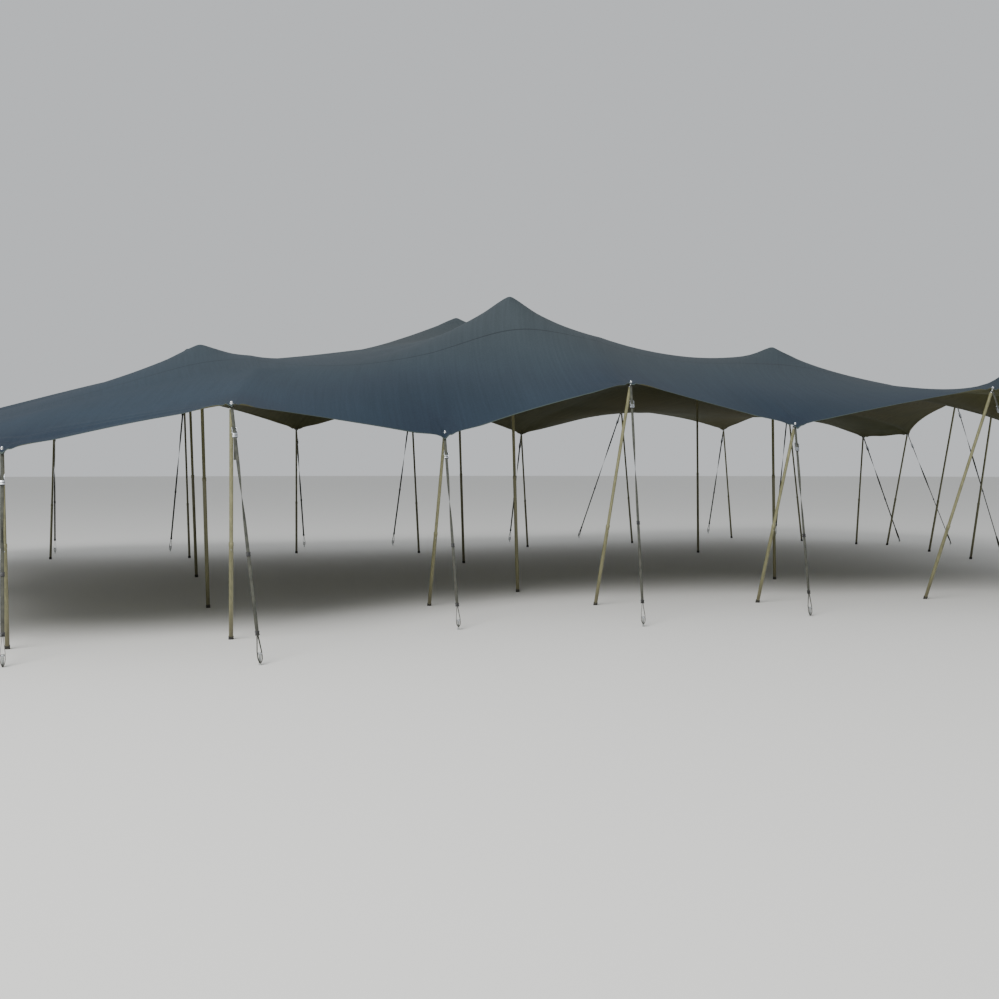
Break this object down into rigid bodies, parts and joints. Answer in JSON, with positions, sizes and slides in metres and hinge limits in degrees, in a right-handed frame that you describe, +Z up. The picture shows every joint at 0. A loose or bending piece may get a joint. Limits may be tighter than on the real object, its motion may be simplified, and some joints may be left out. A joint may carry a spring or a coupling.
{
  "type": "stretch tent",
  "caption": "Freeform stretch tent: one tensioned fabric canopy on leaning edge poles and upright inner poles, held out by ratchet straps to ground stakes.",
  "frame": {"origin": "on the ground under the middle of the whole tent", "axes": "+X along the tent's long side, +Z up, -Y towards the front hem with the wide entrances"},
  "size_m": [20.392, 15.142, 4],
  "materials": {
    "canopy": "matt coated four-way stretch fabric, dark slate blue-grey above and dark olive brown below",
    "pole": "satin olive-grey tube with light scratches, black rubber foot",
    "stay": "grey woven polyester webbing with zinc-plated steel ratchets and a galvanised stake"
  },
  "bodies": {
    "root": {"canopy": "canopy", "pole_back_1": "pole", "pole_back_2": "pole", "pole_back_3": "pole", "pole_back_4": "pole", "pole_back_5": "pole", "pole_back_6": "pole", "pole_back_left_corner": "pole", "pole_back_right_corner": "pole", "pole_front_1": "pole", "pole_front_2": "pole", "pole_front_3": "pole", "pole_front_4": "pole", "pole_front_5": "pole", "pole_front_6": "pole", "pole_front_left_corner": "pole", "pole_front_right_corner": "pole", "pole_inner_back_1": "pole", "pole_inner_back_2": "pole", "pole_inner_back_3": "pole", "pole_inner_front_1": "pole", "pole_inner_front_2": "pole", "pole_inner_front_3": "pole", "pole_inner_front_4": "pole", "pole_left_1": "pole", "pole_left_2": "pole", "pole_right_1": "pole", "pole_right_2": "pole", "pole_right_3": "pole", "pole_right_4": "pole", "pole_right_5": "pole", "pole_right_6": "pole", "stay_back_1": "stay", "stay_back_2": "stay", "stay_back_3": "stay", "stay_back_4": "stay", "stay_back_5": "stay", "stay_back_6": "stay", "stay_back_left_corner": "stay", "stay_back_right_corner": "stay", "stay_front_1": "stay", "stay_front_2": "stay", "stay_front_3": "stay", "stay_front_4": "stay", "stay_front_5": "stay", "stay_front_6": "stay", "stay_front_left_corner": "stay", "stay_front_right_corner": "stay", "stay_left_1": "stay", "stay_left_2": "stay", "stay_right_1": "stay", "stay_right_2": "stay", "stay_right_3": "stay", "stay_right_4": "stay", "stay_right_5": "stay", "stay_right_6": "stay"}
  },
  "joints": []
}
